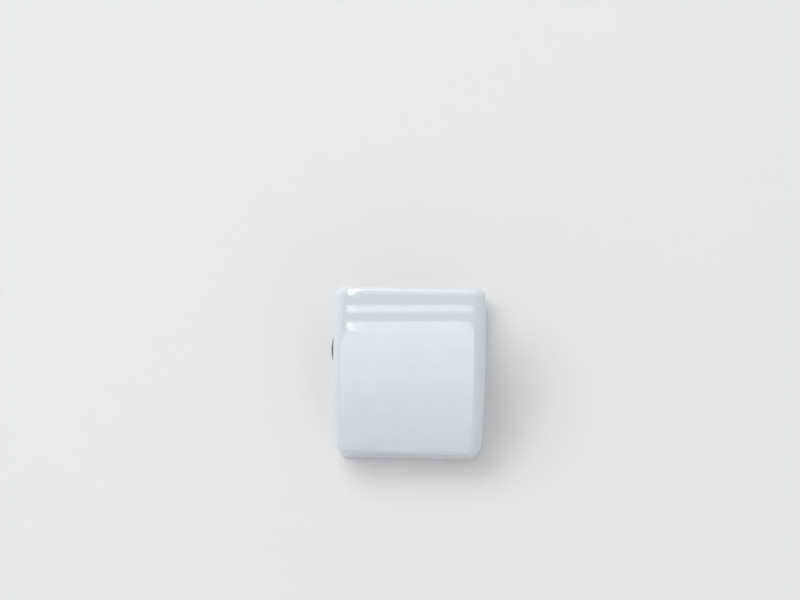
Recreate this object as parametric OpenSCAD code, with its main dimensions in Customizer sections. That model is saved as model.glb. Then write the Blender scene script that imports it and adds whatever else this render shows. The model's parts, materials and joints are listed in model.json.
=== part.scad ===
// Spring clip with a magnetic back: a front lever and a rear lever share one pivot pin,
// a torsion spring on the pin holds the toothed jaws shut, and two magnets on a steel
// plate hold the rear lever to a board.
// Frame: the clip lies on its magnets. X runs across the clip, +Y towards the end that
// is pressed, -Y towards the jaws, +Z away from the board. Origin: middle of the back.

/* [Clip] */
// Width across the widest part of the front lever
clip_w = 37; // [32:0.5:50]
// Length of the rear lever along the board
clip_l = 42; // [38:0.5:60]
// How much shorter the front lever's face is than the rear lever
face_short = 1.7; // [0:0.1:4]
// Tilt of the closed front lever away from the board
face_tilt = 21; // [17:0.5:25]
// Radius of the gently bowed flanks, seen from the front
flank_bow_r = 300; // [200:5:600]
// Corner radius at the jaw end, seen from the front
jaw_corner_r = 2.7; // [1.5:0.1:4]
// Corner radius at the handle end, seen from the front
handle_corner_r = 2; // [1:0.1:4]

/* [Front lever] */
// Thickness of the face
face_wall = 2.2; // [1.6:0.1:3]
// Radius of the face's crown along its length
face_crown_r = 160; // [120:5:300]
// Radius of the rolled edge along each flank
flank_edge_r = 4; // [3.2:0.1:6]
// Width of that rolled edge, seen from the front
flank_edge_w = 2.8; // [1.6:0.1:3]
// Radius of the rolled edge at the handle end
handle_edge_r = 1.6; // [0.8:0.1:2.4]
// Radius of the rolled edge at the jaw end
jaw_edge_r = 1; // [0.5:0.1:1.6]
// Thickness of the walls along the flanks and the handle end
lever_wall = 1.8; // [1.4:0.1:2.4]
// Depth of the flank walls beside the throat, below the face's edge
throat_skirt = 3.2; // [2.8:0.1:3.6]
// Depth of the walls round the handle, below the face's edge
handle_skirt = 5; // [4:0.1:5.6]
// Thickness of the stiffening ribs under the face
rib_t = 1.2; // [0.8:0.1:1.6]
// Distance of the long ribs from the middle
rib_x = 9; // [7.5:0.1:11]

/* [Jaws] */
// Length of the toothed jaw
jaw_l = 4.8; // [3.6:0.1:6]
// Teeth along the jaw
tooth_n = 3; // [2:1:5]
// Height of a tooth
tooth_h = 0.7; // [0.4:0.05:1]
// Upright gap between the closed jaws
jaw_gap = 0.15; // [0.1:0.01:0.3]
// Height of the front lever's blunt jaw end
lip_h = 2.4; // [2:0.1:3]

/* [Pivot] */
// Distance of the pivot from the handle end, along the face
pivot_back = 15.9; // [14:0.1:18]
// Depth of the pivot's axis below the line between the face's two ends
pivot_depth = 7; // [6.4:0.1:8]
// Diameter of the pin
pin_d = 2.5; // [2:0.1:3]
// Diameter of the pin's domed head on the left flank
dome_d = 6.6; // [5:0.1:6.8]
// Height of the domed head's rim
dome_rim = 0.25; // [0.2:0.05:0.5]
// Height of the dome above its rim
dome_h = 0.6; // [0.4:0.05:0.9]
// How far the pin's spread end on the right flank stands out all round
pin_head_rim = 0.75; // [0.5:0.05:1]
// Thickness of the spread end
pin_head_t = 0.7; // [0.5:0.05:0.8]
// Radial clearance of the pin in the rear lever
pin_fit = 0.03; // [0.02:0.01:0.1]
// Radial clearance of the pin in the front lever
swing_fit = 0.06; // [0.03:0.01:0.1]
// Gap under the domed head, and beside and under the spread end
head_gap = 0.1; // [0.05:0.01:0.2]
// Wall of an ear round the pin
ear_wall = 2.15; // [1.6:0.05:2.4]
// Thickness of the rear lever's ears
rear_ear_t = 2; // [1.5:0.1:3]
// Gap between the two levers' ears
ear_gap = 0.3; // [0.15:0.05:0.5]
// Half length of the foot on which an ear stands
ear_foot = 6.5; // [5.5:0.1:7]

/* [Rear lever] */
// Thickness of plastic over the steel plate
floor_t = 1.2; // [0.8:0.1:2]
// How far the rear lever's flanks stay inside the front lever's
rear_inset = 0.3; // [0.1:0.05:1]
// Height of the ribs that guide the spring's leg
guide_h = 1.2; // [0.8:0.1:1.4]

/* [Magnets] */
// Width of one magnet
magnet_w = 13; // [8:0.5:14.5]
// Length of a magnet
magnet_l = 24; // [16:0.5:28]
// Thickness of a magnet
magnet_t = 2.2; // [1.5:0.1:3]
// Seam between the two magnets
magnet_seam = 0.4; // [0.2:0.05:1]
// Thickness of the steel plate behind the magnets
yoke_t = 0.8; // [0.5:0.1:1.5]
// Glue gap round the magnets and the plate
glue_gap = 0.15; // [0.1:0.05:0.3]
// Corner radius of the pocket, the plate and the magnets
magnet_corner_r = 0.8; // [0.4:0.1:1.5]
// Middle of the magnets along the clip
magnet_y = -1; // [-2:0.1:1]

/* [Spring] */
// Diameter of the spring wire
wire_d = 1.1; // [0.8:0.05:1.3]
// Radial gap between the coil and the pin
coil_gap = 0.45; // [0.35:0.05:0.6]
// Gap between neighbouring turns
turn_gap = 0.5; // [0.45:0.05:0.7]
// Whole turns, besides the part turn between the two legs
coil_turns = 5; // [3:1:7]
// Length of a leg from the coil to its tip
leg_l = 11; // [9:0.1:11.5]
// Gap between a leg's tip and the lever on which it presses
leg_gap = 0.1; // [0.05:0.05:0.2]

/* [Hidden] */
// Roundness of small and of very large circles
$fn = 64;
fine_fn = 1440;
// Spare reach of cutting shapes, and the small crossing that keeps rolled edges clean
reach = 60;
cross = 0.06;

abs_white = "#e3e8e8";
steel_grey = "#b6b9bd";
ferrite_grey = "#3b3b3e";

// Rear lever and face, in the clip's frame
base_t = floor_t + yoke_t + magnet_t;
jaw_y = -clip_l / 2;
throat_y = jaw_y + jaw_l;
face_l = clip_l - face_short;
face_tip_z = base_t + jaw_gap + lip_h;

// Front lever's own frame: the pivot's axis is its origin, Y runs up the face
handle_s = pivot_back;
tip_s = pivot_back - face_l;
pivot_y = jaw_y - tip_s * cos(face_tilt) + pivot_depth * sin(face_tilt);
pivot_z = face_tip_z - tip_s * sin(face_tilt) - pivot_depth * cos(face_tilt);
crown_s = (handle_s + tip_s) / 2;
crown_h = pivot_depth - sqrt(pow(face_crown_r, 2) - pow(face_l / 2, 2));
throat_h = pivot_depth - throat_skirt;
handle_h = pivot_depth - handle_skirt;

// Ears and pin, across the clip
flank_x = clip_w / 2;
lever_ear_x = flank_x - lever_wall - pin_head_t + head_gap;
rear_ear_x = lever_ear_x - ear_gap;
ear_r = pin_d / 2 + ear_wall;
pin_head_r = pin_d / 2 + pin_head_rim;
dome_r = (pow(dome_d / 2, 2) + pow(dome_h, 2)) / (2 * dome_h);

// Magnet pocket
magnets_w = 2 * magnet_w + magnet_seam;

// Spring: each leg leaves the coil where it then just reaches its lever
wire_r = wire_d / 2;
coil_r = pin_d / 2 + coil_gap + wire_r;
turn_pitch = wire_d + turn_gap;
rear_drop = pivot_z - base_t - wire_r - leg_gap;
face_rise = face_under(leg_l) - wire_r - leg_gap;
rear_leg_a = leg_angle(rear_drop);
face_leg_a = face_tilt + leg_angle(face_rise);
coil_from = 90 + face_leg_a;
coil_to = 270 - rear_leg_a + 360 * coil_turns;
coil_half_l = turn_pitch * (coil_to - coil_from) / 720;
rings_a_turn = 8;
wire_sides = 6;
coil_rings = ceil((coil_to - coil_from) * rings_a_turn / 360);
guide_gap = 0.3;
guide_l = 4;

// Height of the face above the pivot at a place along it, in the lever's frame
function face_top(s) = crown_h + sqrt(pow(face_crown_r, 2) - pow(s - crown_s, 2));
// Height of the face's inner side, in the lever's frame
function face_under(s) = crown_h + sqrt(pow(face_crown_r - face_wall, 2) - pow(s - crown_s, 2));
// Slope of a leg that leaves the coil and ends at a height off the pivot
function leg_angle(height) = asin(height / norm([coil_r, leg_l])) - atan2(coil_r, leg_l);
// Where a straight edge from a point touches a circle about the pivot
function touch(point, radius, side) =
    let (a = atan2(point[1], point[0]) + side * acos(radius / norm(point)))
    [radius * cos(a), radius * sin(a)];

// Puts what is drawn in the front lever's frame at its closed place
module on_lever() {
    translate([0, pivot_y, pivot_z]) rotate([face_tilt, 0, 0]) children();
}

// Puts what is drawn from the pivot's axis, square to the board, in its place
module at_pivot() {
    translate([0, pivot_y, pivot_z]) children();
}

// Draws an outline seen from the side as a slab across the clip
module across(from_x, to_x) {
    translate([from_x, 0, 0]) rotate([90, 0, 90]) linear_extrude(to_x - from_x) children();
}

// Outline between two gently bowed flanks, widest at the pivot
module bowed_flanks(half_w) {
    intersection() {
        translate([half_w - flank_bow_r, 0]) circle(flank_bow_r, $fn = fine_fn);
        translate([flank_bow_r - half_w, 0]) circle(flank_bow_r, $fn = fine_fn);
    }
}

// Half width between the bowed flanks at a distance from the pivot
function bowed_half(half_w, s) = half_w - flank_bow_r + sqrt(pow(flank_bow_r, 2) - pow(s, 2));

// Everything above y = 0, with two rounded corners at the lower end of a given half width
module round_ended(half_w, corner_r) {
    translate([-reach, corner_r]) square([2 * reach, 2 * reach]);
    translate([corner_r - half_w, 0]) square([2 * (half_w - corner_r), 2 * corner_r]);
    for (side = [-1, 1])
        translate([side * (half_w - corner_r), corner_r]) circle(corner_r);
}

// Outline of one end of a lever: flanks bowed about the pivot, corners rounded.
// The end lies at y = 0 and the pivot at y = to_pivot.
module lever_end(half_w, corner_r, to_pivot) {
    corner_half = bowed_half(half_w, to_pivot - corner_r) + cross;
    intersection() {
        translate([0, to_pivot]) bowed_flanks(half_w);
        round_ended(corner_half, corner_r);
    }
}

// Plate with rounded corners
module round_plate(w, l, t, r) {
    linear_extrude(t) {
        square([w - 2 * r, l], center = true);
        square([w, l - 2 * r], center = true);
        for (x = [-1, 1], y = [-1, 1])
            translate([x * (w / 2 - r), y * (l / 2 - r)]) circle(r);
    }
}

// Ear outline about the pivot: a round end that runs anticlockwise from one foot to the other
module ear_outline(foot_a, foot_b) {
    circle(ear_r);
    polygon([foot_a, touch(foot_a, ear_r, 1), [0, 0], touch(foot_b, ear_r, -1), foot_b]);
}

// Crowned slab whose outer edges along the flanks are rolled
module crowned_slab(outer_r, half_w, edge_r) {
    depth = pivot_depth + 2 * ear_r;
    half_turn = asin(face_l / outer_r);
    translate([0, crown_s, crown_h]) rotate([0, -90, 0]) rotate([0, 0, -half_turn])
        rotate_extrude(angle = 2 * half_turn, $fn = fine_fn) {
            translate([outer_r - depth, -half_w]) square([depth - edge_r, 2 * half_w]);
            translate([outer_r - 2 * edge_r, edge_r - half_w])
                square([2 * edge_r, 2 * (half_w - edge_r)]);
            for (side = [-1, 1])
                translate([outer_r - edge_r, side * (half_w - edge_r)]) circle(edge_r);
        }
}

// Side outline that ends at x = 0 in an edge rolled over at a height, open the other way
module rolled_end(height, edge_r) {
    translate([edge_r, -reach]) square([reach, 2 * reach]);
    translate([0, -reach]) square([2 * edge_r, reach + height]);
    translate([edge_r, height]) circle(edge_r);
}

// Front lever's side outline below its face: flank walls and ears
module lever_side() {
    foot_jaw = [-ear_foot, throat_h];
    foot_handle = [ear_foot, handle_h];
    polygon([[tip_s - jaw_l, throat_h], foot_jaw, foot_handle, [handle_s + lever_wall, handle_h],
             [handle_s + lever_wall, reach], [tip_s - jaw_l, reach]]);
    ear_outline(foot_jaw, foot_handle);
}

// Toothed line of the jaws, and everything below it
module jaw_teeth(lift) {
    pitch = jaw_l / tooth_n;
    crests = [for (i = [0:2 * tooth_n])
        [jaw_y + i * pitch / 2, base_t + lift + (i % 2) * tooth_h]];
    polygon(concat([[jaw_y, 0]], crests, [[throat_y, 0]]));
}

// Everything that the closed front lever must leave free at its jaw
module jaw_room() {
    jaw_teeth(jaw_gap);
    translate([jaw_y - jaw_l, 0]) square([2 * jaw_l, base_t + jaw_gap]);
}

// Full form of the front lever, before it is hollowed
module lever_form() {
    roll_h = face_top(handle_s - handle_edge_r) - handle_edge_r + cross;
    tip_slope = face_tilt + asin((crown_s - tip_s) / face_crown_r);
    jaw_roll_z = face_tip_z + jaw_edge_r * tan(tip_slope)
        - (jaw_edge_r - cross) / cos(tip_slope);
    intersection() {
        on_lever() crowned_slab(face_crown_r, flank_x - flank_edge_w + flank_edge_r, flank_edge_r);
        on_lever() translate([0, handle_s, -reach]) rotate([0, 0, 180]) linear_extrude(2 * reach)
            lever_end(flank_x, handle_corner_r, handle_s);
        on_lever() across(-flank_x - 1, flank_x + 1)
            translate([handle_s, 0]) mirror([1, 0]) rolled_end(roll_h, handle_edge_r);
        translate([0, jaw_y, 0]) linear_extrude(reach)
            lever_end(flank_x, jaw_corner_r, pivot_y - jaw_y);
        across(-flank_x - 1, flank_x + 1)
            translate([jaw_y, 0]) rolled_end(jaw_roll_z, jaw_edge_r);
        union() {
            on_lever() across(-flank_x - 1, flank_x + 1) lever_side();
            translate([-flank_x - 1, jaw_y - 1, base_t]) cube([2 * flank_x + 2, jaw_l + 1, reach]);
        }
    }
}

// Hollow under the face, with the ribs left standing
module lever_hollow() {
    tip_half = bowed_half(flank_x, tip_s) - lever_wall;
    handle_half = bowed_half(flank_x, handle_s) - lever_wall;
    wall_s = handle_s - lever_wall;
    difference() {
        intersection() {
            on_lever() crowned_slab(face_crown_r - face_wall, lever_ear_x, rib_t / 2);
            on_lever() translate([0, 0, -reach]) linear_extrude(2 * reach)
                polygon([[-tip_half, tip_s - jaw_l], [tip_half, tip_s - jaw_l],
                         [tip_half, tip_s], [handle_half, wall_s],
                         [-handle_half, wall_s], [-tip_half, tip_s]]);
            translate([-reach, throat_y, 0]) cube([2 * reach, reach, reach]);
        }
        on_lever() lever_ribs();
    }
}

// Ribs under the face: two along the lever, one across it and two beside the spring's leg
module lever_ribs() {
    leg_s = leg_l * cos(face_leg_a - face_tilt);
    cross_s = leg_s + rib_t;
    for (x = [-rib_x, rib_x])
        translate([x - rib_t / 2, tip_s - jaw_l, throat_h]) cube([rib_t, face_l + jaw_l, reach]);
    translate([-rib_x, cross_s, throat_h]) cube([2 * rib_x, rib_t, reach]);
    leg_guides(-coil_half_l, cross_s - guide_l, throat_h, reach);
}

// Two short ribs on either side of a spring leg
module leg_guides(x, from_y, from_z, height) {
    for (side = [-1, 1])
        translate([x + side * (wire_r + guide_gap + rib_t / 2) - rib_t / 2, from_y, from_z])
            cube([rib_t, guide_l, height]);
}

module front_lever() {
    color(abs_white) difference() {
        lever_form();
        lever_hollow();
        across(-flank_x - 1, flank_x + 1) jaw_room();
        at_pivot() rotate([0, 90, 0])
            cylinder(r = pin_d / 2 + swing_fit, h = 2 * reach, center = true);
        at_pivot() rotate([0, 90, 0]) translate([0, 0, flank_x - pin_head_t - head_gap])
            cylinder(r = pin_head_r + head_gap, h = reach);
    }
}

// Slab of the rear lever with its toothed jaw
module rear_form() {
    half_w = flank_x - rear_inset;
    intersection() {
        across(-flank_x, flank_x) union() {
            translate([jaw_y, 0]) square([clip_l, base_t]);
            jaw_teeth(0);
        }
        translate([0, jaw_y, 0]) linear_extrude(reach)
            lever_end(half_w, jaw_corner_r, pivot_y - jaw_y);
        translate([0, -jaw_y, 0]) rotate([0, 0, 180]) linear_extrude(reach)
            lever_end(half_w, handle_corner_r, -jaw_y - pivot_y);
    }
}

// Ears of the rear lever, between the front lever's own
module rear_ears() {
    foot_z = base_t - pivot_z - cross;
    for (x = [-rear_ear_x, rear_ear_x - rear_ear_t])
        at_pivot() across(x, x + rear_ear_t)
            ear_outline([ear_foot, foot_z], [-ear_foot, foot_z]);
}

module rear_lever() {
    leg_y = pivot_y + leg_l * cos(rear_leg_a);
    color(abs_white) difference() {
        union() {
            rear_form();
            rear_ears();
            leg_guides(coil_half_l, leg_y - guide_l, base_t - cross, guide_h + cross);
        }
        at_pivot() rotate([0, 90, 0])
            cylinder(r = pin_d / 2 + pin_fit, h = 2 * reach, center = true);
        translate([0, magnet_y, -1])
            round_plate(magnets_w + 2 * glue_gap, magnet_l + 2 * glue_gap,
                        magnet_t + yoke_t + 1, magnet_corner_r + glue_gap);
    }
}

// Half of the pin's side outline, with its axis upright and its domed head at the top
module pin_half() {
    top_h = flank_x + head_gap;
    spread_h = pin_head_t - flank_x;
    translate([0, spread_h - pin_head_t / 2]) square([pin_d / 2, top_h - spread_h + pin_head_t]);
    translate([0, top_h]) square([dome_d / 2, dome_rim]);
    translate([0, top_h + dome_rim]) intersection() {
        translate([0, dome_h - dome_r]) circle(dome_r, $fn = fine_fn);
        square([dome_d / 2, dome_h]);
    }
    polygon([[0, -flank_x], [pin_head_r - pin_head_t / 2, -flank_x],
             [pin_head_r, -flank_x + pin_head_t / 2], [pin_head_r, spread_h], [0, spread_h]]);
}

module pivot_pin() {
    color(steel_grey) at_pivot() rotate([0, -90, 0]) rotate_extrude() pin_half();
}

// Middle of the wire at an angle round the coil
function coil_point(a) =
    [-coil_half_l + turn_pitch * (a - coil_from) / 360, coil_r * cos(a), coil_r * sin(a)];
// Direction in which the wire runs at an angle round the coil, seen from the side
function coil_run(a) = [0, -sin(a), cos(a)];
// Ring of corners round the wire
function wire_ring(middle, a) = [for (k = [0:wire_sides - 1])
    middle + wire_r * cos(360 * k / wire_sides) * [0, cos(a), sin(a)]
           + wire_r * sin(360 * k / wire_sides) * [1, 0, 0]];

// The wire's path from the tip on the front lever to the tip on the rear lever
coil_angles = [for (i = [0:coil_rings]) coil_from + i * (coil_to - coil_from) / coil_rings];
wire_angles = concat([coil_from], coil_angles, [coil_to]);
wire_path = concat([coil_point(coil_from) - leg_l * coil_run(coil_from)],
                   [for (a = coil_angles) coil_point(a)],
                   [coil_point(coil_to) + leg_l * coil_run(coil_to)]);
turn_gaps = [for (i = [0:coil_rings], j = [i + rings_a_turn / 2:1:coil_rings])
    norm(coil_point(coil_angles[i]) - coil_point(coil_angles[j])) - wire_d];
echo("least gap between the spring's turns", min(turn_gaps));

module torsion_spring() {
    rings = [for (i = [0:len(wire_path) - 1]) wire_ring(wire_path[i], wire_angles[i])];
    last = len(rings) - 1;
    sides = [for (i = [0:last - 1], k = [0:wire_sides - 1])
        let (a = i * wire_sides + k, b = i * wire_sides + (k + 1) % wire_sides)
        each [[a, b, b + wire_sides], [a, b + wire_sides, a + wire_sides]]];
    caps = [for (k = [1:wire_sides - 2])
        each [[0, k + 1, k], last * wire_sides * [1, 1, 1] + [0, k, k + 1]]];
    color(steel_grey) at_pivot()
        polyhedron(points = [for (ring = rings) each ring], faces = concat(sides, caps));
}

module yoke_plate() {
    color(steel_grey) translate([0, magnet_y, magnet_t])
        round_plate(magnets_w, magnet_l, yoke_t, magnet_corner_r);
}

// One magnet block, flush with the back
module magnet(side) {
    color(ferrite_grey) translate([side * (magnet_w + magnet_seam) / 2, magnet_y, 0])
        round_plate(magnet_w, magnet_l, magnet_t, magnet_corner_r);
}

module left_magnet() {
    magnet(-1);
}

module right_magnet() {
    magnet(1);
}

rear_lever();
front_lever();
pivot_pin();
torsion_spring();
yoke_plate();
left_magnet();
right_magnet();
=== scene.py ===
"""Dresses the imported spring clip: smooth moulded levers, a dark pin, a wound wire spring,
ground magnets and a pale studio. Lengths are metres in the clip's frame: it lies on its
magnets, X runs across it, +Y towards the handle end and +Z away from the board.
"""
import json
import math

import bmesh
import bpy
import numpy as np
from mathutils import Matrix, Vector


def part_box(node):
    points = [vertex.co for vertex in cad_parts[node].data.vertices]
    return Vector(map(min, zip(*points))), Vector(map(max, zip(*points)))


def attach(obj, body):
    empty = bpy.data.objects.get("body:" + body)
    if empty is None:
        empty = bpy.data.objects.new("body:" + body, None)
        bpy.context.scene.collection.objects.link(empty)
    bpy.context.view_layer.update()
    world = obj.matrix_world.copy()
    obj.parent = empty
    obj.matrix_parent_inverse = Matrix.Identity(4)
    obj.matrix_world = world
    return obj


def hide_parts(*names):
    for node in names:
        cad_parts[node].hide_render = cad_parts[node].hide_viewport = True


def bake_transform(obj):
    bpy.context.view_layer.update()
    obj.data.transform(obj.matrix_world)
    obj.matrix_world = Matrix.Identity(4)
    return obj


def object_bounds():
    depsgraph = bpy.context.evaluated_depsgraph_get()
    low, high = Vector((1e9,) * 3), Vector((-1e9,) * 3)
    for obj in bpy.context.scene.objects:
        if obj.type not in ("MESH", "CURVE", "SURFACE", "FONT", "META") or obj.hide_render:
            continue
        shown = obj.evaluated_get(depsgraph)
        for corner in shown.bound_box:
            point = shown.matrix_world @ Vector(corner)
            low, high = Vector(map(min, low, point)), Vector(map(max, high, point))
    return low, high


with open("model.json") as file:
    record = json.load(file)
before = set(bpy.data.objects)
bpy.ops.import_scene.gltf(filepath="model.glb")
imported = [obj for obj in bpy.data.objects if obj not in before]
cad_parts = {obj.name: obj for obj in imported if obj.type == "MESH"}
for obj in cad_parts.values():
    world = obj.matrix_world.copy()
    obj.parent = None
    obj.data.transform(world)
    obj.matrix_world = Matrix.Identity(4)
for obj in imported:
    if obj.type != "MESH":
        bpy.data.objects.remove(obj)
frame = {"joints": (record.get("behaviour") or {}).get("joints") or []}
cad_low, cad_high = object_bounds()

bl_info = {
    "name": "Magnetic spring clip",
    "version": (1, 0, 0),
    "blender": (4, 5, 0),
    "location": "View3D > Sidebar > Spring clip",
    "description": "Builds the levers, pin, spring and magnets of a spring clip, and a studio for it",
    "category": "Object",
}

MM = 0.001
# Amount that counts as nothing, and the distance within which points of a cut piece are joined
TINY = 1e-9
WELD = 0.005 * MM

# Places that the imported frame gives
PIVOT = Vector(frame["joints"][0]["pos_m"])
FRONT_LOW, FRONT_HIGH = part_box("front_lever")
REAR_LOW, REAR_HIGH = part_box("rear_lever")
YOKE_LOW, YOKE_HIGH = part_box("yoke_plate")
PIN_LOW, PIN_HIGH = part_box("pivot_pin")

# Spare reach of cutting tools past the piece that they cut
REACH = 10 * MM
# Cosines of the angles within which a face counts as looking sideways, and a corner as nearly so
SIDEWAYS = 0.9998
NEARLY_SIDEWAYS = 0.85
# Turn at an edge from which it counts as sharp and is rounded
SHARP = math.radians(30)
# Turn at an edge from which it stays a crease in the smooth shading
CREASE = math.radians(50)

# Width of the camera's sensor in millimetres, and the colour of the even light
SENSOR_W = 36.0
SKY_COLOUR = (0.97, 0.985, 1.0, 1.0)
# Softboxes: place, width and height
KEY_BOX = ((-1.05, 1.2, 1.275), 2.4, 1.2)
FILL_BOX = ((0.8, -0.65, 0.9), 1.2, 0.9)
# Place and height of the panels at the right, which the left ones mirror. Those of one side
# are nested, so that their light fades towards both ends: their number and the widest one.
SIDE_PLACE = (0.9, -0.1, 0.6)
SIDE_H = 0.9
GRADE_STEPS = 6
GRADE_W = 1.2
# Step between nested lights, which don't add up in one plane
LAYER = 2 * MM
# Distance of the lights that the glossy face mirrors
STRIP_OFF = 0.75
# Upper and lower edges of the mirrored bands, as distances from the handle end
BANDS = ((3.95 * MM, 5.6 * MM), (7.85 * MM, 10.3 * MM))
# Left and right ends of the bands, of the bright spots in them and of the fade below them
BAND_ENDS = (-15.1 * MM, 15.1 * MM)
SPOT_ENDS = (-15.1 * MM, -14.0 * MM)
FADE_ENDS = (-15.1 * MM, 17.0 * MM)
# Rise of all these along the face for each length across it
BAND_SLANT = 0.022
# Brightness of the spots and of the fade, as shares of a band's
SPOT_SHARE = 2.5
FADE_SHARE = 0.85
# Number of the fade's strips, length of the longest and spare width
FADE_STEPS = 8
FADE_L = 0.36
FADE_SPARE = 0.4
# Edges of the panels mirrored in the handle end's rolled edge: turn in degrees, left, right
GLINT = (
    (-0.15, -15.1 * MM, -13.8 * MM),
    (10, -15.0 * MM, -13.1 * MM),
    (22, -14.8 * MM, -12.5 * MM),
    (34, -14.6 * MM, -12.1 * MM),
    (46, -14.4 * MM, -11.8 * MM),
)
RIM_LINE = ((38, -12.2 * MM, 15.4 * MM), (47, -12.2 * MM, 15.4 * MM))


def length(label, millimetres, words):
    """A length that a user may change, given in millimetres."""
    return bpy.props.FloatProperty(
        name=label, description=words, default=millimetres * MM, min=0.0, precision=5, unit="LENGTH"
    )


def angle(label, degrees, words):
    """An angle that a user may change, given in degrees."""
    return bpy.props.FloatProperty(
        name=label, description=words, default=math.radians(degrees), subtype="ANGLE"
    )


def number(label, value, words):
    """A plain number that a user may change."""
    return bpy.props.FloatProperty(name=label, description=words, default=value, min=0.0, precision=3)


def count(label, value, words):
    """A whole number that a user may change."""
    return bpy.props.IntProperty(name=label, description=words, default=value, min=1)


def colour(label, rgb, words):
    """A colour that a user may change, in linear values."""
    return bpy.props.FloatVectorProperty(
        name=label, description=words, default=rgb, size=3, min=0.0, max=1.0, subtype="COLOR"
    )


class ClipSizes(bpy.types.PropertyGroup):
    """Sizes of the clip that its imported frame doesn't give."""

    face_tilt: angle("Face tilt", 21, "Tilt of the closed front lever away from the board")
    bow_r: length("Flank bow", 300, "Radius of the gently bowed flanks")
    handle_corner: length("Handle corner", 2.0, "Corner radius at the handle end")
    jaw_corner: length("Jaw corner", 2.7, "Corner radius at the jaw end")
    crown_r: length("Crown", 160, "Radius of the face's crown along its length")
    flank_roll: length("Flank roll", 4.0, "Radius of the rolled edge along each flank")
    flank_roll_w: length("Flank roll width", 2.8, "Width of that rolled edge")
    handle_roll: length("Handle roll", 1.6, "Radius of the rolled edge at the handle end")
    jaw_roll: length("Jaw roll", 1.0, "Radius of the rolled edge at the jaw end")
    edge_round: length("Edge round", 0.3, "Rounding where a rolled edge meets its wall")
    cut_round: length("Cut round", 0.14, "Rounding of the other moulded edges, but not of the tooth ends")
    face_wall: length("Face wall", 2.2, "Thickness of the face")
    lever_wall: length("Lever wall", 1.8, "Thickness of the handle end's wall")
    throat_skirt: length("Throat skirt", 3.2, "Depth of the flank walls beside the throat")
    handle_skirt: length("Handle skirt", 5.0, "Depth of the walls round the handle")
    rib_t: length("Rib", 1.2, "Thickness of the ribs under the face")
    rib_x: length("Rib place", 9.0, "Distance of the long ribs from the middle")
    inner_round: length("Inner round", 0.6, "Rounding of the hollow under the face")
    pivot_back: length("Pivot place", 15.9, "Distance of the pivot from the handle end")
    pivot_depth: length("Pivot depth", 7.0, "Depth of the pivot below the face's two ends")
    ear_wall: length("Ear wall", 2.15, "Wall of an ear round the pin")
    ear_foot: length("Ear foot", 6.5, "Half length of the foot on which an ear stands")
    ear_gap: length("Ear gap", 0.3, "Gap between the two levers' ears")
    rear_ear_t: length("Rear ear", 2.0, "Thickness of the rear lever's ears")
    jaw_l: length("Jaw length", 4.8, "Length of the toothed jaw")
    tooth_n: count("Teeth", 3, "Teeth along the jaw")
    tooth_h: length("Tooth height", 0.7, "Height of a tooth")
    jaw_gap: length("Jaw gap", 0.15, "Gap between the closed jaws")
    floor_t: length("Floor", 1.2, "Plastic over the steel plate")
    guide_h: length("Guide height", 1.2, "Height of the ribs that guide the spring's leg")
    guide_l: length("Guide length", 4.0, "Length of the ribs that guide a spring leg")
    guide_gap: length("Guide gap", 0.3, "Gap between a guide rib and the leg")
    pin_d: length("Pin", 2.5, "Diameter of the pin")
    dome_rim: length("Dome rim", 0.25, "Height of the rim of the pin's domed head")
    dome_h: length("Dome", 0.6, "Height of the dome above its rim")
    spread_rim: length("Spread rim", 0.75, "How far the pin's spread end stands out all round")
    spread_t: length("Spread end", 0.7, "Thickness of the pin's spread end")
    pin_fit: length("Pin fit", 0.04, "Radial clearance round the pin")
    head_gap: length("Head gap", 0.1, "Gap beside and under the pin's spread end")
    front_ear_t: length("Front ear", 2.4, "Thickness of the front lever's ears")
    wire_d: length("Wire", 1.1, "Diameter of the spring wire")
    coil_gap: length("Coil gap", 0.45, "Radial gap between the coil and the pin")
    turn_gap: length("Turn gap", 0.5, "Gap between neighbouring turns")
    coil_turns: count("Turns", 5, "Whole turns of the coil")
    leg_l: length("Leg length", 11.0, "Length of a spring leg from the coil to its tip")
    leg_gap: length("Leg gap", 0.1, "Gap between a leg's tip and its lever")
    glue_gap: length("Glue gap", 0.15, "Gap round the magnets and the plate")
    magnet_corner: length("Magnet corner", 0.8, "Corner radius of the magnets and the plate")
    magnet_edge: length("Magnet edge", 0.18, "Rounding of the magnets' ground edges")


class ClipColours(bpy.types.PropertyGroup):
    """Colours of the clip's materials, in linear values."""

    plastic: colour("Plastic", (0.640, 0.690, 0.705), "Glossy white plastic of the two levers")
    plastic_drift: colour("Plastic drift", (0.665, 0.710, 0.722), "Lighter patches of that plastic")
    # Very dark metal for the pin, as dark as the pin looks; what it is plated with is not known
    steel: colour("Steel", (0.095, 0.095, 0.100), "Black nickel plated pin")
    wire: colour("Wire", (0.46, 0.46, 0.47), "Drawn spring wire")
    plate: colour("Plate", (0.55, 0.56, 0.57), "Zinc plated steel plate")
    ferrite: colour("Ferrite", (0.045, 0.045, 0.050), "Ground ferrite")
    floor: colour("Floor", (0.775, 0.775, 0.79), "Pale studio floor")


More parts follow.
